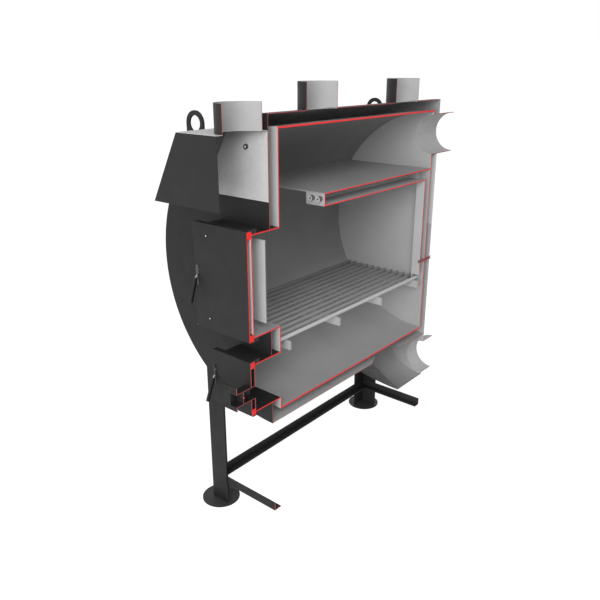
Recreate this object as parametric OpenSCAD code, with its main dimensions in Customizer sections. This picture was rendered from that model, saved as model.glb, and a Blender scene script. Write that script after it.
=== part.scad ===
// Solid fuel air heater on legs, cut open on its centre plane: the left half stands, the right half is gone.
// Working frame of the modules: x = 0 is the cut plane, y = 0 the casing front plate, z = 0 the floor.

/* [Casing] */
// Outer radius of the round sheet casing
casing_r = 400; // [395:1:405]
// Depth of the casing, front plate to rear plate
casing_len = 803; // [790:1:830]
// Thickness of the casing sheet
casing_t = 1.5; // [1:0.5:2]
// Height of the casing axis above the floor
axis_z = 755; // [750:1:765]

/* [Firebox] */
// Air space between the round casing and the firebox
side_gap = 31; // [29:0.5:34]
// Thickness of the firebox shell
firebox_t = 4.5; // [3:0.5:6]
// Thickness of the firebox front and rear walls
wall_t = 3; // [3:0.5:6]
// Depth from the casing's front face to the firebox
front_gap = 33; // [32:1:38]
// Depth from the firebox to the casing's rear face
rear_gap = 31.5; // [30:0.5:36]

/* [Fuel opening] */
// Full width of the fuel throat
fuel_w = 338; // [334:1:342]
// Height of the fuel throat
fuel_h = 264; // [258:1:266]
// How far the fuel door reaches past its throat at the side
fuel_side = 17; // [16:0.5:19]

/* [Ash opening] */
// Full width of the ash throat
ash_w = 232; // [228:1:236]
// Height of the ash throat
ash_h = 136; // [132:1:138]
// Height of the ash opening's centre above the casing's lowest point
ash_up = 131; // [129:1:133]
// How far the ash door reaches past its throat at the side
ash_side = 20.5; // [20:0.5:22]

/* [Throats and doors] */
// Plate thickness of both throats
throat_t = 3; // [2.5:0.5:5]
// How far the throats stand out in front of the casing
throat_reach = 60.5; // [56:0.5:62]
// How far a door reaches past its throat above and below
door_rise = 7; // [6:0.5:8]
// Air gap between a closed door and the throat rim, which the rope seal fills
door_gap = 1.2; // [1:0.1:1.5]
// Depth of a door from its front face to its back
door_t = 16.5; // [15.5:0.5:18]
// Thickness of a door's front panel
panel_t = 2.5; // [2:0.5:3]
// Thickness of a door's inner liner
liner_t = 3; // [1.5:0.5:3]
// Width of the rope seal
seal_w = 10; // [8:0.5:10]
// Width of the door frame inside the rope seal
seal_lip = 4.5; // [2:0.5:5.5]

/* [Door hinges] */
// Radius of the hinge pins, which stand in the top and bottom edges of the doors
pin_r = 2; // [1.8:0.1:2.1]
// Length of a hinge pin
pin_len = 14; // [8:1:15]
// Distance of the hinge axis from the cut plane
hinge_x = 3.2; // [3:0.1:3.4]
// Distance of the hinge axis from the back of the door
hinge_in = 7; // [6.8:0.1:7.5]

/* [Latches] */
// Radius of a latch spindle
spindle_r = 2.5; // [2:0.1:2.7]
// Fuel latch axis, inward from the door's left edge
fuel_latch_in = 8.5; // [8:0.5:9]
// Fuel latch axis above the casing axis
fuel_latch_up = 16; // [5:1:30]
// Ash latch axis, inward from the door's left edge
ash_latch_in = 7; // [6.5:0.5:8]
// Ash latch axis above the ash opening's centre
ash_latch_up = 18; // [5:1:30]
// Length of a grip
grip_len = 64; // [50:1:75]
// Radius of a grip
grip_r = 5; // [3:0.5:5.5]

/* [Heat shield] */
// Distance of the shield's edge from the top and from the bottom of the throat
shield_clear = 25; // [20:1:29]
// Thickness of the shield
shield_t = 3; // [2:0.5:3]
// Depth from the casing front plate forward to the shield's front face
shield_y = 14; // [12:1:18]
// Distance of the shield's bolts from the side of the throat
shield_bolt_in = 30; // [29:1:34]
// Distance of the shield's bolts from the top and from the bottom of the throat
shield_bolt_down = 23; // [21:1:25]

/* [Air inlet] */
// Full inner width of the inlet duct in the ash door
inlet_w = 43; // [38:1:48]
// Inner height of the inlet duct
inlet_h = 33.5; // [31:0.5:35]
// Wall of the inlet duct
inlet_t = 1.5; // [1:0.5:2]
// Drop of the duct's centre below the ash opening's centre
inlet_drop = 10.5; // [9:0.5:12]
// Y of the duct's front end, forward of the casing front plate
inlet_reach = 127; // [120:1:135]
// Full width of the inlet flange
flange_w = 90; // [80:1:96]
// Height of the flange above the duct centre
flange_up = 36.5; // [33:0.5:40]
// Height of the flange below the duct centre
flange_down = 29.5; // [27:0.5:32]
// Radius of the damper axle
axle_r = 2; // [1.5:0.1:2.2]

/* [Baffle and secondary air] */
// Top of the smoke baffle below the flue pipe's axis
baffle_down = 106; // [99:1:113]
// Thickness of the baffle
baffle_t = 3; // [3:0.5:5]
// Y of the baffle's front edge
baffle_y = 214; // [205:1:225]
// Full width of the air channel under the baffle
channel_w = 124; // [116:1:130]
// Height of the air channel below the baffle
channel_h = 32; // [30:0.5:35]
// Full width of the upright air duct on the rear wall
riser_w = 60; // [54:1:66]
// Spacing of the air nozzles
nozzle_pitch = 26; // [24:1:27]
// Outer radius of a nozzle
nozzle_r = 7; // [6:0.5:7.5]
// How far a nozzle stands out
nozzle_len = 12.5; // [10:0.5:15]

/* [Grate] */
// Radius of a grate bar
bar_r = 5.5; // [4.5:0.5:6.5]
// Spacing of the grate bars
bar_pitch = 25.5; // [24:0.5:25.5]
// Top of the bar supports below the casing axis
grate_drop = 186; // [180:1:192]
// Height of a bar support
support_h = 25; // [20:1:28]

/* [Pipes] */
// Outer diameter of every round connection
pipe_d = 125; // [115:1:130]
// Wall of the air pipes
pipe_t = 1.5; // [1:0.5:2]
// Wall of the flue pipe
flue_t = 2; // [1.5:0.5:3]
// Depth of the flue pipe's axis below the top of the firebox
flue_down = 75; // [73:1:84]
// How far the flue pipe stands out behind the casing
flue_reach = 97; // [80:1:120]
// Y of the middle outlet
outlet_mid_y = 201; // [190:1:215]
// Y of the rear outlet
outlet_rear_y = 603; // [590:1:620]
// Height of the two outlets above the casing top
outlet_rise = 65; // [55:1:80]

/* [Hood] */
// Depth of the hood in front of the casing
hood_depth = 160; // [155:1:170]
// Full width of the hood at its top
hood_top_w = 260; // [250:1:262]
// Full width of the hood at its open bottom
hood_low_w = 448; // [440:1:456]
// Height of the hood
hood_h = 165.5; // [158:0.5:173]
// Depth of the hood's top below the casing's top
hood_drop = 37; // [32:1:45]
// Distance of the hood pipe's axis in front of the casing
hood_pipe_y = 80; // [78:1:82]
// Height of the hood pipe
hood_pipe_rise = 64; // [50:1:80]

/* [Air intake] */
// Radius of the intake scoop below the casing
scoop_r = 167; // [160:1:170]
// Height of the scoop's centre above the casing's lowest point
scoop_up = 7; // [4:1:10]
// Sheet thickness of the scoop
scoop_t = 2; // [1.5:0.5:2]
// Y where the scoop's sloping front leaves the casing
scoop_y = 474; // [460:1:490]
// Y where the sloping front meets the scoop bottom
scoop_low_y = 643; // [630:1:655]
// Depth of the intake pipe's axis below the scoop's centre
intake_down = 99; // [92:1:101]
// How far the intake pipe stands out behind the casing
intake_reach = 65; // [50:1:80]

/* [Stand] */
// Distance of a leg's outer face from the cut plane
leg_x = 253; // [245:1:258]
// Leg width of the angle section
leg_w = 60; // [55:1:65]
// Thickness of the leg angle
leg_t = 4; // [3:0.5:5]
// Radius of a foot plate
foot_r = 57; // [54:1:60]
// Thickness of a foot plate
foot_t = 3; // [3:0.5:5]
// Foot plate centre, inward from the leg's outer corner
foot_in = 16.5; // [14:0.5:20]
// Width of the stretcher angle
stretcher_w = 25; // [22:1:30]
// Thickness of the stretcher angle
stretcher_t = 3; // [2:0.5:3]
// Height of the stretchers' underside
stretcher_z = 70; // [60:1:90]

/* [Lifting eyes] */
// Outer radius of a lug
eye_r = 31.5; // [29:0.5:34]
// Radius of its hole
eye_hole_r = 19.5; // [16:0.5:21]
// Thickness of its plate
eye_t = 5; // [4:0.5:8]
// Hole centre's distance outside the casing
eye_out = 41.5; // [39:0.5:46]
// Angle of the eyes from the top of the casing
eye_angle = 34.25; // [32:0.25:36]

/* [Hidden] */
$fn = 96;

small_fn = 32;          // facets of small round pieces
seat = 0.3;             // clearance of a piece in its seat
running = 0.05;         // radial clearance of a pin in its bore
over = 1;               // how far a cutter reaches past what it cuts
far = 2000;             // reach of a cutting block
plate_gap = 0.5;        // clearance above and below a door

pipe_r = pipe_d / 2;
casing_top = axis_z + casing_r;
casing_low = axis_z - casing_r;
firebox_r = casing_r - side_gap;
firebox_front = front_gap;
firebox_back = casing_len - rear_gap;
firebox_in_r = firebox_r - firebox_t;
ash_z = casing_low + ash_up;
inlet_z = ash_z - inlet_drop;
flue_z = axis_z + firebox_r - flue_down;
fuel_door_w = fuel_w + 2 * fuel_side;
fuel_door_h = fuel_h + 2 * door_rise;
ash_door_w = ash_w + 2 * ash_side;
ash_door_h = ash_h + 2 * door_rise;
flue_end = casing_len + flue_reach;
mid_y = (flue_end - hood_depth) / 2;

throat_front = -throat_reach;
door_back = throat_front - door_gap;
door_front = door_back - door_t;
seal_depth = 8;         // depth of the groove for the rope seal
seal_out = 0.4;         // how far the rope seal stands out of its groove
hinge_y = door_back - hinge_in;
hinge_land = 7;         // solid end of the door frame at the hinge
bracket_t = 3;
bracket_gap = 1.5;      // distance of a bracket's foot behind the throat rim
bracket_foot = 14;      // length of a bracket's foot
bracket_foot_y = [throat_front + bracket_gap, throat_front + bracket_gap + bracket_foot];

riser_gap = 29.5;       // space of the upright duct in front of the rear wall
riser_t = 2.5;
riser_y = firebox_back - wall_t - riser_gap;
channel_t = 3;
channel_round = 5;
baffle_z = flue_z - baffle_down - baffle_t;
channel_z = baffle_z - channel_h;
tube_r = 5;
tube_drop = 118;        // depth of the secondary air tube below the casing axis
tube_z = axis_z - tube_drop;
nozzle_up = 19;         // height of the nozzles in the channel
nozzle_z = channel_z + nozzle_up;

support_t = 5;
support_in = 41;        // distance of the first bar support from the firebox front
support_gap = 1;        // distance of the last one from the upright duct
grate_z = axis_z - grate_drop;
support_z = grate_z - support_h;
support_first = firebox_front + support_in;
support_last = riser_y - support_t - support_gap;
support_ys = [for (i = [0:3]) support_first + (support_last - support_first) * i / 3];
bar_z = grate_z + bar_r + seat / 2;

// Moves a piece from the working frame to the part's frame, whose origin is under the middle of the box.
module placed() translate([casing_r / 2, -mid_y, 0]) children();

// Keeps what lies left of the cut plane.
module left_of_cut() {
    intersection() {
        children();
        translate([-far, -far, -far]) cube([far, 2 * far, 2 * far]);
    }
}

// Cylinder along y from y0 to y1 about (x, z).
module rod_y(r, y0, y1, x = 0, z = 0, fn = $fn) {
    translate([x, y0, z]) rotate([-90, 0, 0]) cylinder(h = y1 - y0, r = r, $fn = fn);
}

// Box between two corners.
module block(a, b) translate(a) cube([b.x - a.x, b.y - a.y, b.z - a.z]);

// Outline in x and z, given a thickness from y0 to y1.
module slab_y(y0, y1) translate([0, y1, 0]) rotate([90, 0, 0]) linear_extrude(y1 - y0) children();

// Left half of a rectangular opening or tube, full width w and height h about z.
module half_box(w, h, z, y0, y1) block([-w / 2, y0, z - h / 2], [0, y1, z + h / 2]);

// The same box, cut past the centre plane, as a cutter.
module half_cutter(w, h, z, y0, y1) block([-w / 2, y0, z - h / 2], [over, y1, z + h / 2]);

// Casing

module casing_shell() {
    color("dimgray") placed() left_of_cut() difference() {
        rod_y(casing_r, casing_t, casing_len - casing_t, z = axis_z);
        rod_y(casing_r - casing_t, 0, casing_len, z = axis_z);
        for (y = [outlet_mid_y, outlet_rear_y])
            translate([0, y, axis_z]) cylinder(h = far, r = pipe_r - pipe_t);
        intake_opening();
    }
}

// Opening in the casing bottom over the scoop: pointed in front, straight behind.
opening_w = 75;
module intake_opening() {
    linear_extrude(axis_z)
        polygon([[over, scoop_y], [0, scoop_y], [-opening_w, scoop_low_y], [over, scoop_low_y]]);
}

module casing_front_plate() {
    color("dimgray") placed() left_of_cut() difference() {
        rod_y(casing_r, 0, casing_t, z = axis_z);
        half_cutter(fuel_w, fuel_h, axis_z, -over, casing_t + over);
        half_cutter(ash_w, ash_h, ash_z, -over, casing_t + over);
        hood_bolt_hole();
        rod_y(screw_r, -over, casing_t + over, x = -screw_x, z = screw_z, fn = small_fn);
    }
}

module casing_rear_plate() {
    color("gainsboro") placed() left_of_cut() difference() {
        rod_y(casing_r, casing_len - casing_t, casing_len, z = axis_z);
        rod_y(pipe_r + seat, casing_len - casing_t - over, casing_len + over, z = flue_z);
        rod_y(tube_r + seat, casing_len - casing_t - over, casing_len + over, z = tube_z, fn = small_fn);
    }
}

// Screw in the front plate, low on the left.
screw_in = 66.5;        // distance in from the casing's edge
screw_angle = 33.4;     // angle below the casing axis
screw_x = (casing_r - screw_in) * cos(screw_angle);
screw_z = axis_z - (casing_r - screw_in) * sin(screw_angle);
screw_r = 2;
screw_head_r = 3;
screw_head_t = 1.5;
screw_len = 12;
module front_plate_screw() {
    color("silver") placed() {
        rod_y(screw_r, 0, screw_len, x = -screw_x, z = screw_z, fn = small_fn);
        rod_y(screw_head_r, -screw_head_t, 0, x = -screw_x, z = screw_z, fn = small_fn);
    }
}

// Firebox

module firebox_shell() {
    color("silver") placed() left_of_cut() difference() {
        rod_y(firebox_r, firebox_front + wall_t, firebox_back - wall_t, z = axis_z);
        rod_y(firebox_in_r, firebox_front, firebox_back, z = axis_z);
    }
}

module firebox_front_wall() {
    y0 = firebox_front - over;
    y1 = firebox_front + wall_t + over;
    color("silver") placed() left_of_cut() difference() {
        rod_y(firebox_r, firebox_front, firebox_front + wall_t, z = axis_z);
        half_cutter(fuel_w - 2 * throat_t, fuel_h - 2 * throat_t, axis_z, y0, y1);
        half_cutter(ash_w - 2 * throat_t, ash_h - 2 * throat_t, ash_z, y0, y1);
    }
}

module firebox_rear_wall() {
    color("silver") placed() left_of_cut() difference() {
        rod_y(firebox_r, firebox_back - wall_t, firebox_back, z = axis_z);
        rod_y(pipe_r + seat, firebox_back - wall_t - over, firebox_back + over, z = flue_z);
        rod_y(tube_r + seat, firebox_back - wall_t - over, firebox_back + over, z = tube_z, fn = small_fn);
    }
}

// Rectangular tube from the firebox front wall out through the casing.
module throat(w, h, z) {
    difference() {
        half_box(w, h, z, throat_front, firebox_front);
        half_cutter(w - 2 * throat_t, h - 2 * throat_t, z, throat_front - over, firebox_front + over);
    }
}

module fuel_throat() {
    color("dimgray") placed() throat(fuel_w, fuel_h, axis_z);
}

module ash_throat() {
    color("dimgray") placed() throat(ash_w, ash_h, ash_z);
}

// Half width inside the firebox at height z.
function inside_x(z) = sqrt(firebox_in_r * firebox_in_r - (z - axis_z) * (z - axis_z)) - seat;

module baffle_plate() {
    color("darkgray") placed()
        block([-inside_x(baffle_z + baffle_t), baffle_y, baffle_z], [0, firebox_back - wall_t, baffle_z + baffle_t]);
}

// Bent channel with a rounded lower corner, open to the riser at the back.
module air_channel() {
    inner_x = -channel_w / 2 + channel_t;
    inner_z = channel_z + channel_t;
    color("darkgray") placed() difference() {
        slab_y(baffle_y + channel_t, riser_y + riser_t) channel_outline();
        block([inner_x, baffle_y, inner_z], [over, riser_y, baffle_z + over]);
        block([-riser_w / 2, riser_y - over, inner_z], [over, riser_y + riser_t + over, baffle_z + over]);
    }
}

// Half section of the channel: straight sides, one rounded corner.
module channel_outline() {
    translate([-channel_w / 2, channel_z]) difference() {
        square([channel_w / 2, channel_h]);
        difference() {
            translate([-over, -over]) square([channel_round + over, channel_round + over]);
            translate([channel_round, channel_round]) circle(r = channel_round, $fn = small_fn);
        }
    }
}

nozzle_xs = [for (i = [0:1]) -nozzle_pitch * (i + 0.5)];
nozzle_bore_r = 3;
module nozzle_plate() {
    color("silver") placed() difference() {
        slab_y(baffle_y, baffle_y + channel_t) channel_outline();
        for (x = nozzle_xs)
            rod_y(nozzle_bore_r, baffle_y - over, baffle_y + channel_t + over, x = x, z = nozzle_z, fn = small_fn);
    }
}

module air_nozzles() {
    color("silver") placed() for (x = nozzle_xs) difference() {
        rod_y(nozzle_r, baffle_y - nozzle_len, baffle_y, x = x, z = nozzle_z, fn = small_fn);
        rod_y(nozzle_bore_r, baffle_y - nozzle_len - over, baffle_y + over, x = x, z = nozzle_z, fn = small_fn);
    }
}

// Upright duct that feeds the channel, with a slot that the first grate bar ends in.
bar_first_x = 20.5;
slot_gap = 1;
slot_gap_low = 0.5;
riser_slot_w = bar_first_x + bar_r + slot_gap;
riser_slot_h = 21;
riser_slot_z = grate_z - slot_gap_low;
module air_riser() {
    y1 = riser_y + riser_t;
    color("darkgray") placed() difference() {
        union() {
            block([-riser_w / 2, riser_y, support_z], [0, y1, channel_z]);
            block([-riser_w / 2, y1, support_z], [-riser_w / 2 + riser_t, firebox_back - wall_t, baffle_z]);
        }
        block([-riser_slot_w, riser_y - over, riser_slot_z], [over, y1 + over, riser_slot_z + riser_slot_h]);
        rod_y(tube_r + seat, riser_y - over, y1 + over, z = tube_z, fn = small_fn);
    }
}

tube_t = 1.5;
tube_in = 4;
tube_out = 11;
tube_ends = [riser_y - tube_in, casing_len + tube_out];
module secondary_air_tube() {
    color("gray") placed() left_of_cut() difference() {
        rod_y(tube_r, tube_ends[0], tube_ends[1], z = tube_z, fn = small_fn);
        rod_y(tube_r - tube_t, tube_ends[0] - over, tube_ends[1] + over, z = tube_z, fn = small_fn);
    }
}

// Grate

bar_gap_front = 3;
bar_past_riser = 21;
bar_ends = [firebox_front + wall_t + bar_gap_front, riser_y + bar_past_riser];
bar_count = floor((inside_x(grate_z) - bar_r - bar_first_x) / bar_pitch) + 1;
module grate_bars() {
    color("gray") placed() for (i = [0:bar_count - 1])
        rod_y(bar_r, bar_ends[0], bar_ends[1], x = -bar_first_x - i * bar_pitch, z = bar_z, fn = small_fn);
}

support_right = 1;
module grate_supports() {
    color("silver") placed() intersection() {
        for (y = support_ys)
            block([-far, y, support_z], [-support_right, y + support_t, support_z + support_h]);
        rod_y(firebox_in_r - seat, firebox_front, firebox_back, z = axis_z);
    }
}

// Pipes

// Half pipe along y.
module pipe_y(t, y0, y1, z) {
    left_of_cut() difference() {
        rod_y(pipe_r, y0, y1, z = z);
        rod_y(pipe_r - t, y0 - over, y1 + over, z = z);
    }
}

// Half pipe standing up from z0 to z1.
module pipe_z(y, z0, z1) {
    left_of_cut() difference() {
        translate([0, y, z0]) cylinder(h = z1 - z0, r = pipe_r);
        translate([0, y, z0 - over]) cylinder(h = z1 - z0 + 2 * over, r = pipe_r - pipe_t);
    }
}

module flue_pipe() {
    color("darkgray") placed() pipe_y(flue_t, firebox_back - wall_t, flue_end, flue_z);
}

// Outlet cut to sit on the round of the casing.
module casing_outlet(y) {
    difference() {
        pipe_z(y, casing_top - pipe_r, casing_top + outlet_rise);
        rod_y(casing_r + seat, y - 2 * pipe_r, y + 2 * pipe_r, z = axis_z);
    }
}

module middle_outlet() {
    color("dimgray") placed() casing_outlet(outlet_mid_y);
}

module rear_outlet() {
    color("dimgray") placed() casing_outlet(outlet_rear_y);
}

// Smoke hood

hood_top = casing_top - hood_drop;
hood_low = hood_top - hood_h;
hood_t = 1.5;
hood_slope = (hood_low_w - hood_top_w) / 2 / (hood_top - hood_low);
hood_skew = sqrt(1 + hood_slope * hood_slope);

// Left half outline of the hood, shrunk by d at the side and the top and lengthened by e at the open edges.
module hood_outline(d = 0, e = 0) {
    polygon([
        [e, hood_low - e],
        [-hood_low_w / 2 + d * hood_skew - e * hood_slope, hood_low - e],
        [-hood_top_w / 2 + d * (hood_skew - hood_slope), hood_top - d],
        [e, hood_top - d]
    ]);
}

module hood_shell() {
    color("dimgray") placed() difference() {
        slab_y(-hood_depth, -hood_t) hood_outline();
        slab_y(-hood_depth + hood_t, over) hood_outline(hood_t, over);
        translate([0, -hood_pipe_y, hood_low]) cylinder(h = far, r = pipe_r - pipe_t);
    }
}

hood_bolt_x = 67.5;
hood_bolt_down = 41;
hood_bolt_z = hood_top - hood_bolt_down;
hood_bolt_r = 3;
hood_head_r = 6;
hood_head_t = 5;
hood_bolt_len = 9;
hex_socket_r = 3;
hex_socket_t = 4;
module hood_bolt_hole() {
    rod_y(hood_bolt_r + seat, -hood_t - over, casing_t + over, x = -hood_bolt_x, z = hood_bolt_z, fn = small_fn);
}

module hood_back_plate() {
    color("gainsboro") placed() difference() {
        slab_y(-hood_t, 0) hood_outline();
        hood_bolt_hole();
    }
}

// Socket head bolt with a hexagon nut inside the casing.
module hood_bolt() {
    x = -hood_bolt_x;
    head_y = -hood_t - hood_head_t;
    color("gray") placed() difference() {
        union() {
            rod_y(hood_bolt_r, -hood_t, hood_bolt_len, x = x, z = hood_bolt_z, fn = small_fn);
            rod_y(hood_head_r, head_y, -hood_t, x = x, z = hood_bolt_z, fn = small_fn);
            rod_y(hood_head_r, casing_t, casing_t + hood_head_t, x = x, z = hood_bolt_z, fn = 6);
        }
        rod_y(hex_socket_r, head_y - over, head_y + hex_socket_t, x = x, z = hood_bolt_z, fn = 6);
    }
}

module hood_outlet() {
    color("dimgray") placed() pipe_z(-hood_pipe_y, hood_top, hood_top + hood_pipe_rise);
}

// Lifting eyes

eye_dist = casing_r + eye_out;
eye_x = eye_dist * sin(eye_angle);
eye_z = axis_z + eye_dist * cos(eye_angle);
eye_lap = 14;

// Plate lug with a round top and upright sides, cut below to a circle about the casing's axis.
module lifting_eye(y, cut_r) {
    y1 = y + eye_t;
    difference() {
        union() {
            rod_y(eye_r, y, y1, x = -eye_x, z = eye_z);
            block([-eye_x - eye_r, y, axis_z], [-eye_x + eye_r, y1, eye_z]);
        }
        rod_y(eye_hole_r, y - over, y1 + over, x = -eye_x, z = eye_z);
        rod_y(cut_r, y - over, y1 + over, z = axis_z);
    }
}

// Stands on the casing.
module front_lifting_eye() {
    color("dimgray") placed() lifting_eye(0, casing_r + seat);
}

// Laps the outside of the rear plate.
module rear_lifting_eye() {
    color("dimgray") placed() lifting_eye(casing_len + seat, casing_r - eye_lap);
}

// Air intake under the casing

scoop_z = casing_low + scoop_up;
scoop_low = scoop_z - scoop_r;
scoop_lean = atan2(casing_low - scoop_low, scoop_low_y - scoop_y);
scoop_back = casing_len - scoop_t;

// Round trough behind the sloping front, shrunk by d and e past the cut plane and the rear end.
module scoop_body(d, e) {
    intersection() {
        rod_y(scoop_r - d, 0, scoop_back + e, z = scoop_z);
        translate([0, scoop_y, casing_low]) rotate([-scoop_lean, 0, 0])
            block([-casing_r, -casing_r, d], [e, casing_r, casing_r]);
    }
}

module intake_scoop() {
    color("silver") placed() difference() {
        scoop_body(0, 0);
        scoop_body(scoop_t, over);
        rod_y(casing_r + seat, 0, casing_len, z = axis_z);
    }
}

intake_z = scoop_z - intake_down;
module intake_rear_plate() {
    color("silver") placed() left_of_cut() difference() {
        rod_y(scoop_r, scoop_back, casing_len, z = scoop_z);
        rod_y(casing_r + seat, 0, casing_len + over, z = axis_z);
        rod_y(pipe_r + seat, scoop_back - over, casing_len + over, z = intake_z);
    }
}

module intake_pipe() {
    color("silver") placed() pipe_y(pipe_t, scoop_back, casing_len + intake_reach, intake_z);
}

// Stand

// Angle section leg from the foot plate up to the casing; turn = 1 in front, -1 behind.
module leg(y, turn) {
    difference() {
        union() {
            block([-leg_x, min(y, y + turn * leg_w), foot_t], [-leg_x + leg_t, max(y, y + turn * leg_w), axis_z]);
            block([-leg_x, min(y, y + turn * leg_t), foot_t], [-leg_x + leg_w, max(y, y + turn * leg_t), axis_z]);
        }
        rod_y(casing_r + seat, -over, casing_len + over, z = axis_z);
    }
}

module front_leg() {
    color("dimgray") placed() leg(0, 1);
}

module rear_leg() {
    color("dimgray") placed() leg(casing_len, -1);
}

module foot(y) translate([-leg_x + foot_in, y, 0]) cylinder(h = foot_t, r = foot_r);

module front_foot() {
    color("dimgray") placed() foot(foot_in);
}

module rear_foot() {
    color("dimgray") placed() foot(casing_len - foot_in);
}

side_x = -leg_x + leg_t;
cross_x = side_x + stretcher_w + seat;
module front_stretcher() {
    color("dimgray") placed() {
        block([cross_x, leg_t, stretcher_z], [0, leg_t + stretcher_t, stretcher_z + stretcher_w]);
        block([cross_x, leg_t + stretcher_t, stretcher_z], [0, leg_t + stretcher_w, stretcher_z + stretcher_t]);
    }
}

module side_stretcher() {
    y0 = leg_t;
    y1 = casing_len - leg_t;
    color("dimgray") placed() {
        block([side_x, y0, stretcher_z], [side_x + stretcher_t, y1, stretcher_z + stretcher_w]);
        block([side_x + stretcher_t, y0, stretcher_z], [side_x + stretcher_w, y1, stretcher_z + stretcher_t]);
    }
}

module rear_stretcher() {
    y1 = casing_len - leg_t;
    color("dimgray") placed() {
        block([cross_x, y1 - stretcher_t, stretcher_z], [0, y1, stretcher_z + stretcher_w]);
        block([cross_x, y1 - stretcher_w, stretcher_z], [0, y1 - stretcher_t, stretcher_z + stretcher_t]);
    }
}

// Doors

// Upper and lower hinge bracket: a foot on the throat, an arm over the door edge and a pin into the door.
module hinge_brackets(z, door_h, throat_h) {
    edge = door_h / 2 + plate_gap;
    x0 = -2 * hinge_x;
    y0 = hinge_y - 2 * pin_r;
    y1 = bracket_foot_y[1];
    for (up = [0, 1]) translate([0, 0, z]) mirror([0, 0, up]) {
        block([x0, y0, edge], [0, y1, edge + bracket_t]);
        block([x0, bracket_foot_y[0], throat_h / 2], [0, y1, edge]);
        translate([-hinge_x, hinge_y, edge - pin_len]) cylinder(h = pin_len, r = pin_r, $fn = small_fn);
    }
}

// Holes in the door edges for the hinge pins.
module hinge_bores(z, door_h) {
    for (up = [0, 1]) translate([-hinge_x, hinge_y, z]) mirror([0, 0, up])
        translate([0, 0, door_h / 2 - pin_len]) cylinder(h = pin_len + over, r = pin_r + running, $fn = small_fn);
}

module fuel_hinge_brackets() {
    color("dimgray") placed() hinge_brackets(axis_z, fuel_door_h, fuel_h);
}

module ash_hinge_brackets() {
    color("dimgray") placed() hinge_brackets(ash_z, ash_door_h, ash_h);
}

// Hole along y for a latch spindle.
module spindle_bore(x, z) {
    rod_y(spindle_r + running, door_front - over, door_back + over, x = x, z = z, fn = small_fn);
}

// Front sheet of a door.
module door_panel(w, h, z, latch_x, latch_z) {
    difference() {
        half_box(w, h, z, door_front, door_front + panel_t);
        spindle_bore(latch_x, latch_z);
    }
}

// Size of the frame's opening and of the liner that closes it, for a throat size.
function liner_size(s) = s - throat_t - seal_w - 2 * seal_lip;

// Bar frame behind the panel, with a groove for the rope seal that faces the throat rim.
module door_frame(w, h, z, throat_w, throat_h, latch_x, latch_z) {
    difference() {
        half_box(w, h, z, door_front + panel_t, door_back);
        half_cutter(liner_size(throat_w), liner_size(throat_h), z, door_front, door_back + over);
        seal_ring(throat_w, throat_h, z, door_back + over);
        hinge_bores(z, h);
        spindle_bore(latch_x, latch_z);
    }
}

// Square ring that follows the middle of the throat rim and ends beside the hinge.
module seal_ring(throat_w, throat_h, z, y1) {
    y0 = door_back - seal_depth;
    w = (throat_w - throat_t) / 2;
    h = (throat_h - throat_t) / 2;
    s = seal_w / 2;
    difference() {
        block([-w - s, y0, z - h - s], [-hinge_land, y1, z + h + s]);
        block([-w + s, y0 - over, z - h + s], [0, y1 + over, z + h - s]);
    }
}

// Rope seal pressed into the groove.
module door_seal(throat_w, throat_h, z) seal_ring(throat_w, throat_h, z, door_back + seal_out);

// Inner sheet that closes the frame's opening.
module door_liner(z, throat_w, throat_h) {
    half_box(liner_size(throat_w), liner_size(throat_h), z, door_back - liner_t, door_back);
}

fuel_latch_x = -fuel_door_w / 2 + fuel_latch_in;
fuel_latch_z = axis_z + fuel_latch_up;
ash_latch_x = -ash_door_w / 2 + ash_latch_in;
ash_latch_z = ash_z + ash_latch_up;

module fuel_door_panel() {
    color("dimgray") placed() difference() {
        door_panel(fuel_door_w, fuel_door_h, axis_z, fuel_latch_x, fuel_latch_z);
        shield_bolt_holes();
    }
}

module fuel_door_frame() {
    color("dimgray") placed() door_frame(fuel_door_w, fuel_door_h, axis_z, fuel_w, fuel_h, fuel_latch_x, fuel_latch_z);
}

module fuel_door_liner() {
    color("silver") placed() difference() {
        door_liner(axis_z, fuel_w, fuel_h);
        shield_bolt_holes();
    }
}

module fuel_door_seal() {
    color("whitesmoke") placed() door_seal(fuel_w, fuel_h, axis_z);
}

// Heat shield with ears that reach the bolts.
shield_bolt_x = -fuel_w / 2 + shield_bolt_in;
shield_bolt_z = fuel_h / 2 - shield_bolt_down;
shield_ear_w = 12;
shield_left = shield_bolt_x - shield_ear_w / 2;
shield_right = -3;
shield_back = -shield_y + shield_t;
bolt_r = 3;
bolt_end = 3;
sleeve_r = 5;
module shield_bolt_holes() {
    for (s = [-1, 1])
        rod_y(bolt_r + seat, door_front - over, 0, x = shield_bolt_x, z = axis_z + s * shield_bolt_z, fn = small_fn);
}

module heat_shield() {
    half_h = fuel_h / 2 - shield_clear;
    ear_top = shield_bolt_z + shield_ear_w / 2;
    color("silver") placed() difference() {
        translate([0, -shield_y, axis_z]) {
            block([shield_left, 0, -half_h], [shield_right, shield_t, half_h]);
            block([shield_left, 0, -ear_top], [shield_left + shield_ear_w, shield_t, ear_top]);
        }
        shield_bolt_holes();
    }
}

// Bolts from the door front, each with its spacer sleeves and a thin nut.
module shield_bolts() {
    x = shield_bolt_x;
    color("silver") placed() for (s = [-1, 1]) {
        z = axis_z + s * shield_bolt_z;
        rod_y(bolt_r, door_front - bolt_end / 2, shield_back + bolt_end, x = x, z = z, fn = small_fn);
        rod_y(sleeve_r, door_front + panel_t, door_back - liner_t, x = x, z = z, fn = small_fn);
        rod_y(sleeve_r, door_back, -shield_y, x = x, z = z, fn = small_fn);
        rod_y(sleeve_r, shield_back, shield_back + bolt_end, x = x, z = z, fn = 6);
    }
}

module ash_door_panel() {
    color("dimgray") placed() difference() {
        door_panel(ash_door_w, ash_door_h, ash_z, ash_latch_x, ash_latch_z);
        inlet_cutter();
    }
}

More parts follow.
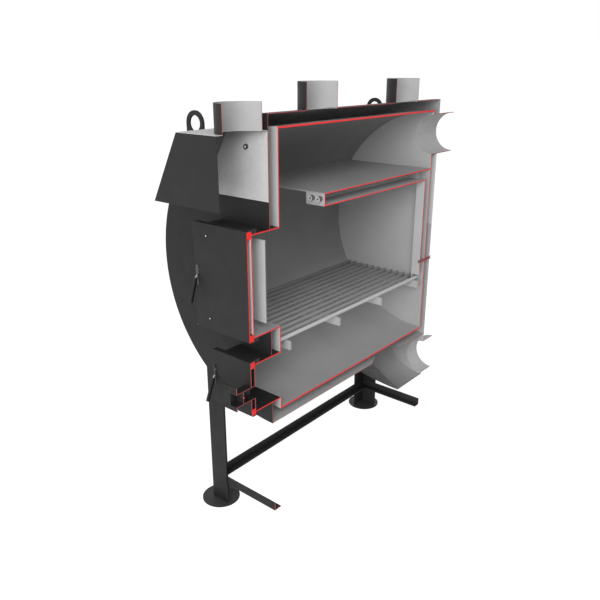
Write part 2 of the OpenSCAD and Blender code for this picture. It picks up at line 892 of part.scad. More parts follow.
module ash_door_frame() {
    color("dimgray") placed() door_frame(ash_door_w, ash_door_h, ash_z, ash_w, ash_h, ash_latch_x, ash_latch_z);
}

module ash_door_liner() {
    color("silver") placed() difference() {
        door_liner(ash_z, ash_w, ash_h);
        inlet_cutter();
    }
}

module ash_door_seal() {
    color("whitesmoke") placed() door_seal(ash_w, ash_h, ash_z);
}

// Air inlet in the ash door

duct_w = inlet_w + 2 * inlet_t;
duct_h = inlet_h + 2 * inlet_t;
module inlet_cutter() half_cutter(duct_w, duct_h, inlet_z, door_front - over, door_back + over);

damper_y = -103.5;
module inlet_duct() {
    color("dimgray") placed() difference() {
        half_box(duct_w, duct_h, inlet_z, -inlet_reach, throat_front);
        half_cutter(inlet_w, inlet_h, inlet_z, -inlet_reach - over, throat_front + over);
        translate([-inlet_w, damper_y, inlet_z]) rotate([0, 90, 0])
            cylinder(h = inlet_w, r = axle_r + running, $fn = small_fn);
    }
}

// Front flange with two rivets and a small hole above the duct.
flange_t = 3;
rivet_r = 2.5;
rivet_head_t = 1;
rivet_in = 8;
rivet_down = 12;
sight_hole_x = -9;
sight_hole_down = 10;
module inlet_flange() {
    y0 = -inlet_reach - flange_t;
    z0 = inlet_z - flange_down;
    z1 = inlet_z + flange_up;
    color("dimgray") placed() difference() {
        union() {
            block([-flange_w / 2, y0, z0], [0, -inlet_reach, z1]);
            for (z = [z0 + rivet_in, z1 - rivet_down])
                rod_y(rivet_r, y0 - rivet_head_t, -inlet_reach, x = -flange_w / 2 + rivet_in, z = z, fn = small_fn);
        }
        half_cutter(inlet_w, inlet_h, inlet_z, y0 - over, -inlet_reach + over);
        rod_y(rivet_r, y0 - over, -inlet_reach + over, x = sight_hole_x, z = z1 - sight_hole_down, fn = small_fn);
    }
}

// Damper flap, let into a flat on the front of its axle.
flap_gap = 0.6;
flap_t = 1.5;
flap_x = -inlet_w / 2 + flap_gap;
flap_back = damper_y - axle_r / 2;
module damper_flap() {
    half_h = inlet_h / 2 - flap_gap;
    color("gray") placed() block([flap_x, flap_back - flap_t, inlet_z - half_h], [0, flap_back, inlet_z + half_h]);
}

// Axle through the side of the duct, with a round knob outside.
knob_r = 7;
knob_t = 8;
knob_gap = 3;
module damper_axle() {
    knob_x = -duct_w / 2 - knob_gap;
    color("gray") placed() difference() {
        translate([knob_x, damper_y, inlet_z]) rotate([0, 90, 0]) union() {
            cylinder(h = -knob_x, r = axle_r, $fn = small_fn);
            translate([0, 0, -knob_t]) cylinder(h = knob_t, r = knob_r, $fn = small_fn);
        }
        block([flap_x, flap_back - 2 * axle_r, inlet_z - inlet_h], [over, flap_back, inlet_z + inlet_h]);
    }
}

// Latches

keeper_in = 3.5;        // distance of a keeper behind the throat rim
keeper_t = 4;
keeper_y = [throat_front + keeper_in, throat_front + keeper_in + keeper_t];
keeper_w = 3;
keeper_h = 16;
pawl_w = 6;
pawl_t = 4;
pawl_gap = 1;           // clearance of a pawl to its keeper and to the throat
pawl_y = [keeper_y[1] + pawl_gap, keeper_y[1] + pawl_gap + pawl_t];

// Spindle through the door with its pawl behind, upright when the latch is free.
module latch_spindle(x, z, wall_x) {
    reach = wall_x - x - pawl_gap;
    rod_y(spindle_r, lever_front, pawl_y[1], x = x, z = z, fn = small_fn);
    block([x - pawl_w / 2, pawl_y[0], z - pawl_w / 2], [x + pawl_w / 2, pawl_y[1], z + reach]);
}

// Lever strip on the door face with a straight tail, and a foot that bends forward to carry the grip.
lever_w = 5;
lever_t = 3;
lever_up = 13;
lever_tail = 41;
tail_t = 1;
boss_r = 5;
lever_front = door_front - seat - lever_t;
bend_y = lever_front - 5;
bend_up = 14;
grip_up = 21.5;
fuel_grip_lean = 18;
ash_grip_lean = 22;
module latch_lever(x, z, lean) {
    x0 = x - lever_w / 2;
    x1 = x + lever_w / 2;
    back = lever_front + lever_t;
    foot_mid = [bend_y, z - grip_up];
    foot_half = lever_t / 2 * [cos(lean), -sin(lean)];
    difference() {
        union() {
            block([x0, lever_front, z - bend_up], [x1, back, z + lever_up]);
            block([x0, back - tail_t, z - lever_tail], [x1, back, z - bend_up]);
            slab_x(x0, x1) polygon([
                [back - tail_t, z - bend_up],
                [lever_front, z - bend_up],
                foot_mid - foot_half,
                foot_mid + foot_half
            ]);
            rod_y(boss_r, lever_front, back, x = x, z = z, fn = small_fn);
        }
        rod_y(spindle_r, lever_front - over, back + over, x = x, z = z, fn = small_fn);
    }
}

// Outline in y and z, given a thickness from x0 to x1.
module slab_x(x0, x1) translate([x0, 0, 0]) rotate([90, 0, 90]) linear_extrude(x1 - x0) children();

// Round grip below the bent foot, leaning away from the door.
module latch_grip(x, z, lean) {
    translate([x, bend_y, z - grip_up]) rotate([-lean, 0, 0])
        translate([0, 0, -grip_len]) cylinder(h = grip_len, r = grip_r, $fn = small_fn);
}

module fuel_latch_spindle() {
    color("gray") placed() latch_spindle(fuel_latch_x, fuel_latch_z, -fuel_w / 2);
}

module fuel_latch_lever() {
    color("darkgray") placed() latch_lever(fuel_latch_x, fuel_latch_z, fuel_grip_lean);
}

module fuel_latch_grip() {
    color("black") placed() latch_grip(fuel_latch_x, fuel_latch_z, fuel_grip_lean);
}

module ash_latch_spindle() {
    color("gray") placed() latch_spindle(ash_latch_x, ash_latch_z, -ash_w / 2);
}

module ash_latch_lever() {
    color("darkgray") placed() latch_lever(ash_latch_x, ash_latch_z, ash_grip_lean);
}

module ash_latch_grip() {
    color("black") placed() latch_grip(ash_latch_x, ash_latch_z, ash_grip_lean);
}

// Keepers on the throat sides, which the pawls turn behind.
module latch_keepers() {
    color("gray") placed() {
        block([-fuel_w / 2 - keeper_w, keeper_y[0], fuel_latch_z - keeper_h / 2],
              [-fuel_w / 2, keeper_y[1], fuel_latch_z + keeper_h / 2]);
        block([-ash_w / 2 - keeper_w, keeper_y[0], ash_latch_z - keeper_h / 2],
              [-ash_w / 2, keeper_y[1], ash_latch_z + keeper_h / 2]);
    }
}

casing_shell();
casing_front_plate();
casing_rear_plate();
front_plate_screw();
firebox_shell();
firebox_front_wall();
firebox_rear_wall();
fuel_throat();
ash_throat();
baffle_plate();
air_channel();
nozzle_plate();
air_nozzles();
air_riser();
secondary_air_tube();
grate_bars();
grate_supports();
flue_pipe();
middle_outlet();
rear_outlet();
hood_shell();
hood_back_plate();
hood_bolt();
hood_outlet();
front_lifting_eye();
rear_lifting_eye();
intake_scoop();
intake_rear_plate();
intake_pipe();
front_leg();
rear_leg();
front_foot();
rear_foot();
front_stretcher();
side_stretcher();
rear_stretcher();
fuel_hinge_brackets();
ash_hinge_brackets();
latch_keepers();
fuel_door_panel();
fuel_door_frame();
fuel_door_liner();
fuel_door_seal();
heat_shield();
shield_bolts();
fuel_latch_spindle();
fuel_latch_lever();
fuel_latch_grip();
ash_door_panel();
ash_door_frame();
ash_door_liner();
ash_door_seal();
inlet_duct();
inlet_flange();
ash_latch_spindle();
ash_latch_lever();
ash_latch_grip();
damper_flap();
damper_axle();
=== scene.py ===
import math

import bpy
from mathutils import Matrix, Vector


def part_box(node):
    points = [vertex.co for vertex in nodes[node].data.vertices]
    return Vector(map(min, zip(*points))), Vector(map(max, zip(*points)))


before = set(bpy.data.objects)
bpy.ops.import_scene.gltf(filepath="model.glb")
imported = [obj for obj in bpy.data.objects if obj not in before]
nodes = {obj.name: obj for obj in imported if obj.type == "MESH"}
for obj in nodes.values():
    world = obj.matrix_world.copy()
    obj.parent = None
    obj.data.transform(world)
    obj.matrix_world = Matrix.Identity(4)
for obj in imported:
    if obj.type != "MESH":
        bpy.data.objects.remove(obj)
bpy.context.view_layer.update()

# Places that the materials need, in metres.
CUT_X = 0.2                 # cut plane
AXIS_Z = 0.755              # long axis of the casing
FRONT_Y = -0.37             # front end of the casing
REAR_Y = 0.433              # rear end of the casing
CASING_R = 0.4
PIPE_R = 0.0625
SKIN = 0.0008               # less than half a sheet: tells a sheet's two sides apart
HOOD_SHEET = 0.003          # more than the thickness of the hood's front wall
FIRST_BAR = 0.028           # from the cut plane to past the first grate bar
GRATE_SHADE_SPAN = (-0.11, 0.17)  # x where the grate's painted shade is darkest, and where it is brightest
SHELL_LIGHT_HEIGHTS = (0.605, 0.455)      # heights where the firebox shell's painted light starts at the bottom and is full
REAR_SHADE = (1.06, 1.10)   # heights where the rear plate's painted shade at the top starts and is full

# A face looks along an axis where that part of its normal is above this.
SQUARELY = 0.9
MOSTLY = 0.5
DUST_UP = 0.8               # faces that dust lies on
FOOT_UP = 0.3               # the foot of a latch lever
SLOPE_FRONT = 0.2           # the scoop's slope, from outside
TROUGH_LEFT = 0.15          # the scoop's trough, from outside on the left
TROUGH_DOWN = 0.3           # and from below


def grey(v):
    return (v, v, v)


# Colours that several pieces share. Those of one piece are written where it gets its material.
RED = (1.0, 0.035, 0.035)
DULL_RED = (0.42, 0.08, 0.085)
DARK = grey(0.018)
# Paint darkened as painted shade, for pieces and sides that lie in shade
PAINT_IN_SHADE = grey(0.0145)
NEAR_BLACK = grey(0.004)
MIDDLE = grey(0.37)
PALE = grey(0.45)
LINER = grey(0.54)
LIGHT = grey(0.56)
BRIGHT = grey(0.60)
DUST = (0.5, 0.48, 0.45)
WORN_PAINT = (0.075, 0.072, 0.07)
WORN_WIDTH = 0.0005
GLASS_FIBRE = (0.62, 0.60, 0.54)


class Shader:
    """A material under construction, with short ways to add nodes."""

    def __init__(self, name):
        self.material = bpy.data.materials.new(name)
        self.material.use_nodes = True
        self.tree = self.material.node_tree
        self.tree.nodes.clear()
        out = self.tree.nodes.new("ShaderNodeOutputMaterial")
        self.bsdf = self.tree.nodes.new("ShaderNodeBsdfPrincipled")
        self.link(self.bsdf.outputs[0], out.inputs[0])
        coord = self.tree.nodes.new("ShaderNodeTexCoord")
        self.place = coord.outputs["Object"]
        self.x, self.y, self.z = self.split(self.place)
        self.nx, self.ny, self.nz = self.split(coord.outputs["Normal"])

    def link(self, a, b):
        self.tree.links.new(a, b)

    def put(self, socket, v):
        """Gives a socket a number, a colour or a link."""
        if isinstance(v, tuple):
            socket.default_value = (*v, 1.0)
        elif isinstance(v, (int, float)):
            socket.default_value = v
        else:
            self.link(v, socket)

    def split(self, vector):
        n = self.tree.nodes.new("ShaderNodeSeparateXYZ")
        self.link(vector, n.inputs[0])
        return n.outputs

    def math(self, kind, a, b=0.0):
        n = self.tree.nodes.new("ShaderNodeMath")
        n.operation = kind
        self.put(n.inputs[0], a)
        self.put(n.inputs[1], b)
        return n.outputs[0]

    def above(self, v, limit):
        return self.math("GREATER_THAN", v, limit)

    def below(self, v, limit):
        return self.math("LESS_THAN", v, limit)

    def both(self, a, b):
        return self.math("MULTIPLY", a, b)

    def either(self, a, b):
        return self.math("MAXIMUM", a, b)

    def minus(self, a, b):
        return self.math("SUBTRACT", a, b)

    def radius(self, x0=CUT_X, z0=AXIS_Z):
        """Distance from a line along y."""
        return self.length(self.minus(self.x, x0), self.minus(self.z, z0))

    def radius_up(self, y0, x0=CUT_X):
        """Distance from a line along z."""
        return self.length(self.minus(self.x, x0), self.minus(self.y, y0))

    def length(self, a, b):
        squares = self.math("ADD", self.math("MULTIPLY", a, a), self.math("MULTIPLY", b, b))
        return self.math("SQRT", squares)

    def cut(self):
        """1 on the faces that the cut plane made."""
        return self.both(self.above(self.x, CUT_X - SKIN), self.above(self.nx, SQUARELY))

    def noise(self, scale, detail, rough, stretch=None):
        n = self.tree.nodes.new("ShaderNodeTexNoise")
        n.inputs["Scale"].default_value = scale
        n.inputs["Detail"].default_value = detail
        n.inputs["Roughness"].default_value = rough
        self.link(self.stretched(stretch), n.inputs["Vector"])
        return n.outputs["Fac"]

    def cells(self, scale):
        """A grey value for each cell of a crystal-like pattern."""
        n = self.tree.nodes.new("ShaderNodeTexVoronoi")
        n.inputs["Scale"].default_value = scale
        self.link(self.place, n.inputs["Vector"])
        return self.split(n.outputs["Color"])[0]

    def wave(self, scale, axis, distortion):
        n = self.tree.nodes.new("ShaderNodeTexWave")
        n.bands_direction = axis
        n.inputs["Scale"].default_value = scale
        n.inputs["Distortion"].default_value = distortion
        self.link(self.place, n.inputs["Vector"])
        return n.outputs["Fac"]

    def stretched(self, stretch):
        if not stretch:
            return self.place
        m = self.tree.nodes.new("ShaderNodeMapping")
        m.inputs["Scale"].default_value = stretch
        self.link(self.place, m.inputs[0])
        return m.outputs[0]

    def span(self, v, low, high, a=0.3, b=0.7):
        """v, which runs from a to b, as a value from low to high. Most noise is in 0.3 to 0.7."""
        n = self.tree.nodes.new("ShaderNodeMapRange")
        n.inputs["From Min"].default_value = a
        n.inputs["From Max"].default_value = b
        n.inputs["To Min"].default_value = low
        n.inputs["To Max"].default_value = high
        self.link(v, n.inputs["Value"])
        return n.outputs[0]

    def mix(self, fac, a, b, kind="MIX"):
        n = self.tree.nodes.new("ShaderNodeMix")
        n.data_type = "RGBA"
        n.blend_type = kind
        self.put(n.inputs["Factor"], fac)
        self.put(n.inputs["A"], a)
        self.put(n.inputs["B"], b)
        return n.outputs["Result"]

    def shade(self, color, factor):
        """color times a grey factor."""
        return self.mix(1.0, color, factor, "MULTIPLY")

    def edges(self, node, width):
        """1 within width of the long edges of a node's box, broken up by noise."""
        low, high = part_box(node)
        gaps = []
        for v, a, b in zip((self.x, self.y, self.z), low, high):
            gaps.append(self.math("MINIMUM", self.minus(v, a), self.minus(b, v)))
        first = self.math("MINIMUM", gaps[0], gaps[1])
        second = self.math("MAXIMUM", gaps[0], gaps[1])
        middle = self.math("MINIMUM", second, self.math("MAXIMUM", first, gaps[2]))
        chips = self.noise(160.0, detail=5.0, rough=0.7)
        return self.below(middle, self.span(chips, 0.0, width))

    def bump(self, height, strength, distance):
        n = self.tree.nodes.new("ShaderNodeBump")
        n.inputs["Strength"].default_value = strength
        n.inputs["Distance"].default_value = distance
        self.link(height, n.inputs["Height"])
        self.link(n.outputs[0], self.bsdf.inputs["Normal"])

    def finish(self, color, cut, rough, specular=0.5, metallic=0.0):
        """Colour with the cut faces over it, which show fine saw lines, and the gloss."""
        if cut:
            lines = self.noise(900.0, detail=2.0, rough=0.5, stretch=(1.0, 0.06, 1.0))
            color = self.mix(self.cut(), color, self.shade(cut, self.span(lines, 0.92, 1.0)))
        self.link(color, self.bsdf.inputs["Base Color"])
        self.put(self.bsdf.inputs["Roughness"], rough)
        self.bsdf.inputs["Specular IOR Level"].default_value = specular
        self.bsdf.inputs["Metallic"].default_value = metallic
        return self.material


# Materials. zones is one colour, or a function that adds the nodes of several to a Shader.
def colors(s, zones):
    return zones(s) if callable(zones) else zones


def paint(name, zones=DARK, cut=RED, worn=None):
    """Satin powder paint: orange peel, faint mottling, dust, and bright wear on a node's edges."""
    s = Shader(name)
    mottle = s.noise(7.0, detail=6.0, rough=0.65)
    color = s.shade(colors(s, zones), s.span(mottle, 0.93, 1.07))
    speck = s.noise(2600.0, detail=2.0, rough=0.5)
    color = s.shade(color, s.span(speck, 0.95, 1.05))
    dust = s.span(s.noise(40.0, detail=6.0, rough=0.7), 0.0, 0.02)
    color = s.mix(s.both(s.above(s.nz, DUST_UP), dust), color, DUST)
    if worn:
        color = s.mix(s.edges(worn, WORN_WIDTH), color, WORN_PAINT)
    s.bump(s.noise(800.0, detail=2.0, rough=0.5), strength=0.10, distance=0.0003)
    rough = s.span(s.noise(26.0, detail=5.0, rough=0.6), 0.46, 0.60)
    return s.finish(color, cut, rough, specular=0.22)


def zinc(name, zones=PALE, cut=DULL_RED):
    """Zinc-coated sheet: a faint crystal spangle, cloudy patches and rolling lines."""
    s = Shader(name)
    spangle = s.span(s.cells(90.0), 0.965, 1.035, 0.0, 1.0)
    color = s.shade(colors(s, zones), spangle)
    clouds = s.noise(6.0, detail=5.0, rough=0.6)
    color = s.shade(color, s.span(clouds, 0.96, 1.04))
    lines = s.noise(500.0, detail=3.0, rough=0.6, stretch=(1.0, 0.05, 1.0))
    color = s.shade(color, s.span(lines, 0.98, 1.02))
    s.bump(lines, strength=0.06, distance=0.0002)
    rough = s.span(s.noise(35.0, detail=5.0, rough=0.6), 0.50, 0.66)
    return s.finish(color, cut, rough, specular=0.4)


def plate(name, zones=MIDDLE, cut=RED):
    """Hot-rolled plate: blotchy mill scale and fine pits."""
    s = Shader(name)
    scale = s.noise(5.0, detail=7.0, rough=0.62)
    color = s.shade(colors(s, zones), s.span(scale, 0.93, 1.07))
    pits = s.noise(260.0, detail=4.0, rough=0.65)
    color = s.shade(color, s.span(pits, 0.96, 1.04))
    s.bump(pits, strength=0.15, distance=0.0004)
    rough = s.span(s.noise(22.0, detail=6.0, rough=0.6), 0.55, 0.72)
    return s.finish(color, cut, rough, specular=0.4)


def steel(name, zones, cut=RED):
    """Turned or drawn steel with brushing along z."""
    s = Shader(name)
    lines = s.noise(1400.0, detail=3.0, rough=0.6, stretch=(1.0, 1.0, 0.04))
    color = s.shade(colors(s, zones), s.span(lines, 0.93, 1.07))
    tarnish = s.noise(60.0, detail=5.0, rough=0.6)
    color = s.shade(color, s.span(tarnish, 0.94, 1.04))
    s.bump(lines, strength=0.10, distance=0.0002)
    return s.finish(color, cut, s.span(lines, 0.26, 0.42), metallic=0.75)


def rope(name):
    """Braided glass-fibre rope: crossing strands with fuzz."""
    s = Shader(name)
    strands = s.wave(170.0, "DIAGONAL", distortion=1.2)
    rings = s.wave(210.0, "Y", distortion=1.5)
    weave = s.math("MAXIMUM", strands, rings)
    color = s.shade(GLASS_FIBRE, s.span(weave, 0.62, 1.08, 0.0, 1.0))
    fuzz = s.noise(1500.0, detail=4.0, rough=0.7)
    color = s.shade(color, s.span(fuzz, 0.9, 1.1))
    s.bump(weave, strength=0.7, distance=0.0009)
    s.bsdf.inputs["Sheen Weight"].default_value = 0.3
    return s.finish(color, None, 0.92, specular=0.2)


def grip(name):
    """Moulded black grip with a fine leather-like texture; the faces that look forward are painted
    lighter, a painted light.
    """
    s = Shader(name)
    grain = s.noise(1900.0, detail=3.0, rough=0.55)
    # Painted light: the forward-facing faces are lighter.
    front = s.span(s.ny, 1.0, 0.0, -0.85, -0.55)
    color = s.shade(s.mix(front, NEAR_BLACK, grey(0.022)), s.span(grain, 0.8, 1.25))
    s.bump(grain, strength=0.35, distance=0.0003)
    rough = s.span(s.noise(80.0, detail=4.0, rough=0.6), 0.5, 0.66)
    return s.finish(color, None, rough, specular=0.12)


# Zones that several pieces share: faces that look one way, and the rest.
def front_zone(rest, front):
    return lambda s: s.mix(s.below(s.ny, -MOSTLY), rest, front)


def side_zone(rest, side):
    return lambda s: s.mix(s.above(s.nx, MOSTLY), rest, side)


def top_zone(rest, top):
    return lambda s: s.mix(s.above(s.nz, MOSTLY), rest, top)


def dress(material, *names):
    for n in names:
        o = nodes[n]
        o.data.materials.clear()
        o.data.materials.append(material)


# Casing: dark paint outside, pale inside; the inside's upper half is painted lighter, a painted
# light that lifts the shade in the gap over the firebox.
def casing_colors(s):
    # Painted light: the upper half of the inside is lighter.
    inside = s.mix(s.above(s.z, AXIS_Z), grey(0.43), grey(0.70))
    return s.mix(s.below(s.radius(), CASING_R - SKIN), DARK, inside)


def front_colors(s):
    # The outside is paint darkened as painted shade, under the hood.
    return s.mix(s.above(s.y, FRONT_Y + SKIN), PAINT_IN_SHADE, PALE)


def rear_colors(s):
    # Inside, the upper half gets painted light and the very top painted shade.
    inside = s.mix(s.above(s.z, AXIS_Z), PALE, BRIGHT)
    inside = s.mix(s.span(s.z, 0.0, 1.0, *REAR_SHADE), inside, grey(0.34))
    return s.mix(s.above(s.y, REAR_Y - SKIN), inside, DARK)


dress(paint("casing_paint", casing_colors, DULL_RED), "casing_shell")
dress(paint("casing_front_paint", front_colors, DULL_RED), "casing_front_plate")
dress(paint("casing_rear_paint", rear_colors, None), "casing_rear_plate")


# Hood: dark sides, a top painted pale as a painted highlight from the light above, and a greyer
# inside.
def hood_colors(s):
    low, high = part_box("hood_shell")
    left_wall = s.both(s.above(s.nx, MOSTLY), s.below(s.x, CUT_X - SKIN))
    front_wall = s.both(s.above(s.ny, MOSTLY), s.below(s.y, low[1] + HOOD_SHEET))
    walls = s.mix(s.either(left_wall, front_wall), DARK, grey(0.16))
    # The top gets a painted highlight.
    return s.mix(s.above(s.z, high[2] - SKIN), walls, BRIGHT)


dress(paint("hood_paint", hood_colors, None), "hood_shell")


# Outlets: dark outside, pale inside, with painted light making the inside brighter towards the
# back.
def pipe_paint(node):
    low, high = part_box(node)
    middle = (low[1] + high[1]) / 2

    def pipe_colors(s):
        light = s.span(s.y, 0.72, 1.45, middle - PIPE_R, middle + PIPE_R)
        inside = s.shade(grey(0.31), light)
        return s.mix(s.below(s.radius_up(middle), PIPE_R - SKIN), DARK, inside)

    return paint(node + "_paint", pipe_colors, DULL_RED)


for n in ("middle_outlet", "rear_outlet", "hood_outlet"):
    dress(pipe_paint(n), n)


# Throats: the fuel throat is pale inside, the ash throat dark.
def throat_colors(s):
    low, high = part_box("fuel_throat")
    top = s.above(s.z, high[2] - SKIN)
    bottom_and_left = s.either(s.below(s.z, low[2] + SKIN), s.below(s.x, low[0] + SKIN))
    return s.mix(s.either(top, bottom_and_left), MIDDLE, DARK)


dress(paint("fuel_throat_paint", throat_colors), "fuel_throat")
# The ash throat is paint darkened as painted shade, under the fuel throat and hood.
dress(paint("ash_throat_paint", PAINT_IN_SHADE), "ash_throat")

# Painted pieces with worn edges: zones, cut colour and nodes
# Painted light and shade: front faces are painted lighter than the other faces, the rear leg's side
# darker, and the ash door frame in painted shade.
SHADED = front_zone(grey(0.010), grey(0.0128))
STRETCHER_LIT_FRONT = front_zone(grey(0.019), grey(0.028))
REAR_LEG_SHADED_SIDE = side_zone(grey(0.025), PAINT_IN_SHADE)
for zones, cut, names in (
    (DARK, RED, ("fuel_door_panel", "fuel_door_frame")),
    (PAINT_IN_SHADE, RED, ("ash_door_frame",)),
    (SHADED, DULL_RED, ("ash_door_panel", "inlet_duct", "inlet_flange")),
    (SHADED, DULL_RED, ("front_leg", "front_stretcher")),
    (STRETCHER_LIT_FRONT, DULL_RED, ("side_stretcher", "rear_stretcher")),
    (REAR_LEG_SHADED_SIDE, RED, ("rear_leg",)),
):
    for n in names:
        dress(paint(n + "_paint", zones, cut, worn=n), n)

# Painted pieces without wear
# Painted light and shade: the feet are lighter on top and near black on the sides.
FOOT_LIT_TOP = top_zone(grey(0.006), grey(0.043))
BRACKETS = ("fuel_hinge_brackets", "ash_hinge_brackets", "latch_keepers")
dress(paint("ash_liner_paint", cut=DULL_RED), "ash_door_liner")
dress(paint("bracket_paint", cut=None), *BRACKETS)
dress(paint("lug_paint"), "front_lifting_eye", "rear_lifting_eye")
dress(paint("foot_paint", FOOT_LIT_TOP), "front_foot", "rear_foot")


# Firebox: the shell gets painted light at the bottom and painted shade above, on faces that look
# down, and is painted lighter towards the back.
def shell_colors(s):
    # Painted shade above, painted light below and towards the back.
    color = s.mix(s.span(s.z, 0.0, 1.0, *SHELL_LIGHT_HEIGHTS), grey(0.235), grey(0.40))
    return s.shade(color, s.span(s.y, 0.92, 1.04, FRONT_Y, REAR_Y))


# Grate: the bar at the cut plane gets a painted highlight, and the others get painted shade, darker
# away from it and towards the back.
def grate_colors(s):
    others = s.mix(s.span(s.x, 0.0, 1.0, *GRATE_SHADE_SPAN), grey(0.18), grey(0.29))
    others = s.shade(others, s.span(s.y, 1.30, 0.92, FRONT_Y, REAR_Y))
    return s.mix(s.above(s.x, CUT_X - FIRST_BAR), others, BRIGHT)


# Plate pieces: material, zones, cut colour and nodes
for name, zones, cut, names in (
    ("shell_plate", shell_colors, RED, ("firebox_shell",)),
    ("baffle_steel", MIDDLE, RED, ("baffle_plate",)),
    ("front_wall_plate", grey(0.47), RED, ("firebox_front_wall",)),
    ("rear_wall_plate", grey(0.41), RED, ("firebox_rear_wall",)),
    ("channel_plate", grey(0.44), RED, ("air_channel", "nozzle_plate")),
    # Painted highlight on the nozzles' front faces, painted shade on their sides and bores.
    ("nozzle_iron", front_zone(grey(0.12), grey(0.52)), None, ("air_nozzles",)),
    # The riser's side is painted darker, a painted shade.
    ("riser_plate", side_zone(grey(0.50), grey(0.38)), RED, ("air_riser",)),
    ("grate_iron", grate_colors, None, ("grate_bars",)),
    ("support_iron", PALE, None, ("grate_supports",)),
    ("liner_plate", LINER, RED, ("fuel_door_liner",)),
    # The shield's side edge is painted darker, a painted shade.
    ("shield_plate", side_zone(LINER, grey(0.20)), RED, ("heat_shield",)),
):
    dress(plate(name, zones, cut), *names)

# Sheet pieces: material, grey, cut colour and node
for name, shade, cut, node in (
    ("zinc_sheet", LIGHT, DULL_RED, "hood_back_plate"),
    ("intake_sheet", grey(0.51), None, "intake_rear_plate"),
    ("intake_zinc", LIGHT, DULL_RED, "intake_pipe"),
    ("tube_zinc", grey(0.12), RED, "secondary_air_tube"),
    ("flue_zinc", PALE, DULL_RED, "flue_pipe"),
):
    dress(zinc(name, shade, cut), node)


# Scoop: dark outside, with the slope in front painted darkest as painted shade; inside, the trough
# gets painted light, brighter towards the back.
def scoop_colors(s):
    low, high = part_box("intake_scoop")
    inside = s.shade(grey(0.39), s.span(s.y, 0.14, 1.15, low[1], high[1]))
    slope = s.below(s.ny, -SLOPE_FRONT)
    trough = s.either(s.below(s.nx, -TROUGH_LEFT), s.below(s.nz, -TROUGH_DOWN))
    # Painted shade on the slope, painted light grading the trough.
    outside = s.mix(slope, DARK, NEAR_BLACK)
    return s.mix(s.either(slope, trough), inside, outside)


dress(paint("scoop_paint", scoop_colors, grey(0.05)), "intake_scoop")


# Small hardware: each bolt or screw head gets a painted highlight in the middle and painted shade
# on the rim.
def dotted(node, size, bright, rim):
    """size is the painted highlight's share of the head."""
    low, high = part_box(node)
    r = (high[0] - low[0]) / 2

    def highlight_colors(s):
        near = [s.radius(low[0] + r, z) for z in (low[2] + r, high[2] - r)]
        # Painted highlight in the middle, painted shade on the rim.
        return s.mix(s.below(s.math("MINIMUM", *near), r * size), rim, bright)

    return steel(node + "_steel", highlight_colors, None)


for node, size, bright, rim in (
    ("front_plate_screw", 0.5, grey(0.16), grey(0.03)),
    ("hood_bolt", 0.62, grey(0.75), grey(0.10)),
    ("shield_bolts", 0.42, BRIGHT, grey(0.05)),
):
    dress(dotted(node, size, bright, rim), node)

SPINDLES = ("damper_axle", "fuel_latch_spindle", "ash_latch_spindle")
dress(steel("dark_steel", grey(0.06)), *SPINDLES)
dress(steel("damper_steel", grey(0.075), DULL_RED), "damper_flap")


# Latch levers: dark, with a painted highlight on the right edge of the upper strip and on the foot
# over the grip.
def lever_steel(node, front, edge):
    low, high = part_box(node)
    strip_foot = low[2] + 0.55 * (high[2] - low[2])

    def lever_colors(s):
        # Painted highlights on the strip's right edge and on the foot.
        strip_highlight = s.both(s.above(s.z, strip_foot), s.above(s.nx, SQUARELY))
        color = s.mix(strip_highlight, front, edge)
        foot = s.both(s.above(s.nz, FOOT_UP), s.below(s.z, high[2] - SKIN))
        return s.mix(foot, color, grey(0.36))

    return steel(node + "_steel", lever_colors)


dress(lever_steel("fuel_latch_lever", grey(0.09), grey(0.48)), "fuel_latch_lever")
dress(lever_steel("ash_latch_lever", grey(0.04), grey(0.10)), "ash_latch_lever")
dress(grip("latch_grip_black"), "fuel_latch_grip", "ash_latch_grip")
dress(rope("seal_rope"), "fuel_door_seal", "ash_door_seal")

# Floor, light and camera, in metres, watts, millimetres of lens and degrees
FLOOR_SIZE = 60
FLOOR_GREY = (0.5, 0.5, 0.5, 1)
FLOOR_GLOW = 0.85
WHITE = (1, 1, 1, 1)
AMBIENT = 0.38
LAMP_SIZE = 2.0
LAMP_AIM = (0, 0, 0.7)
LAMPS = (
    ("key_lamp", (2.23, -2.65, 2.70), 75),
    ("front_lamp", (1.36, -3.75, 1.05), 62),
)
CAMERA_PLACE = (1.22735, -1.48247, 1.26166)
CAMERA_TILT = 69.87
CAMERA_TURN = 39.95
CAMERA_LENS = 38.80
CAMERA_SENSOR = 36.0


def plane(name, size):
    mesh = bpy.data.meshes.new(name)
    h = size / 2
    mesh.from_pydata([(-h, -h, 0), (h, -h, 0), (h, h, 0), (-h, h, 0)], [], [(0, 1, 2, 3)])
    o = bpy.data.objects.new(name, mesh)
    bpy.context.scene.collection.objects.link(o)
    return o


def seen_rays(tree):
    """1 for the rays that show the background: from the camera, or turned by metal or glass."""
    path = tree.nodes.new("ShaderNodeLightPath")
    total = path.outputs["Is Camera Ray"]
    for kind in ("Is Glossy Ray", "Is Transmission Ray"):
        n = tree.nodes.new("ShaderNodeMath")
        n.operation = "MAXIMUM"
        tree.links.new(total, n.inputs[0])
        tree.links.new(path.outputs[kind], n.inputs[1])
        total = n.outputs[0]
    return total


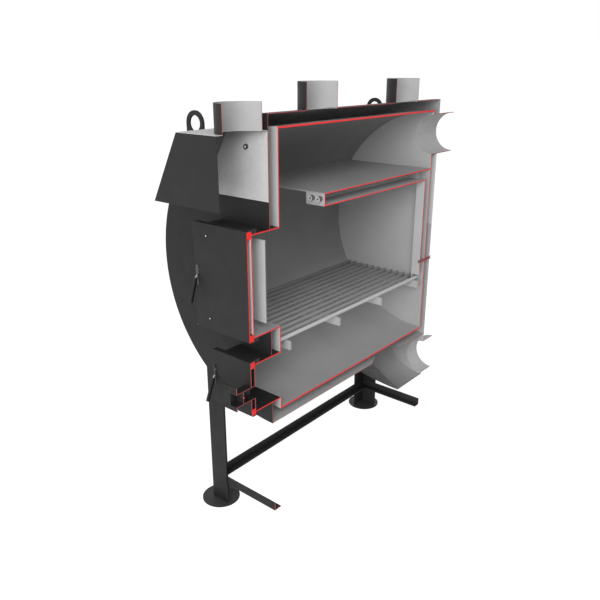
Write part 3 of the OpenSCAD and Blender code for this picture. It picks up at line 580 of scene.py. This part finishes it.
def swap_seen(tree, unseen, seen, out_kind):
    """Ends a tree with one shader where it is seen, and another for all other light."""
    swap = tree.nodes.new("ShaderNodeMixShader")
    tree.links.new(seen_rays(tree), swap.inputs[0])
    tree.links.new(unseen.outputs[0], swap.inputs[1])
    tree.links.new(seen.outputs[0], swap.inputs[2])
    out = tree.nodes.new(out_kind)
    tree.links.new(swap.outputs[0], out.inputs[0])


def floor_material():
    """Pale floor. Where it is seen it also glows, so that only a soft shadow shows on it."""
    m = bpy.data.materials.new("floor_white")
    m.use_nodes = True
    tree = m.node_tree
    tree.nodes.clear()
    pale = tree.nodes.new("ShaderNodeBsdfDiffuse")
    pale.inputs["Color"].default_value = FLOOR_GREY
    glow = tree.nodes.new("ShaderNodeEmission")
    glow.inputs["Strength"].default_value = FLOOR_GLOW
    lit = tree.nodes.new("ShaderNodeAddShader")
    tree.links.new(pale.outputs[0], lit.inputs[0])
    tree.links.new(glow.outputs[0], lit.inputs[1])
    swap_seen(tree, pale, lit, "ShaderNodeOutputMaterial")
    return m


def studio_world():
    """White where it is seen, and a soft ambient light on everything else."""
    world = bpy.data.worlds.new("studio")
    world.use_nodes = True
    tree = world.node_tree
    tree.nodes.clear()
    shaders = []
    for strength in (AMBIENT, 1.0):
        n = tree.nodes.new("ShaderNodeBackground")
        n.inputs["Color"].default_value = WHITE
        n.inputs["Strength"].default_value = strength
        shaders.append(n)
    swap_seen(tree, *shaders, "ShaderNodeOutputWorld")
    return world


def lamp(name, place, power):
    data = bpy.data.lights.new(name, "AREA")
    data.size = LAMP_SIZE
    data.energy = power
    o = bpy.data.objects.new(name, data)
    o.location = place
    o.rotation_euler = (Vector(LAMP_AIM) - Vector(place)).to_track_quat("-Z", "Y").to_euler()
    o.visible_camera = False
    bpy.context.scene.collection.objects.link(o)


floor = plane("floor", FLOOR_SIZE)
floor.data.materials.append(floor_material())
bpy.context.scene.world = studio_world()
for name, place, power in LAMPS:
    lamp(name, place, power)

camera_data = bpy.data.cameras.new("camera")
camera_data.lens = CAMERA_LENS
camera_data.sensor_width = CAMERA_SENSOR
camera = bpy.data.objects.new("camera", camera_data)
camera.location = CAMERA_PLACE
camera.rotation_euler = (math.radians(CAMERA_TILT), 0.0, math.radians(CAMERA_TURN))
bpy.context.scene.collection.objects.link(camera)
bpy.context.scene.camera = camera
bpy.context.scene.view_settings.view_transform = "Standard"
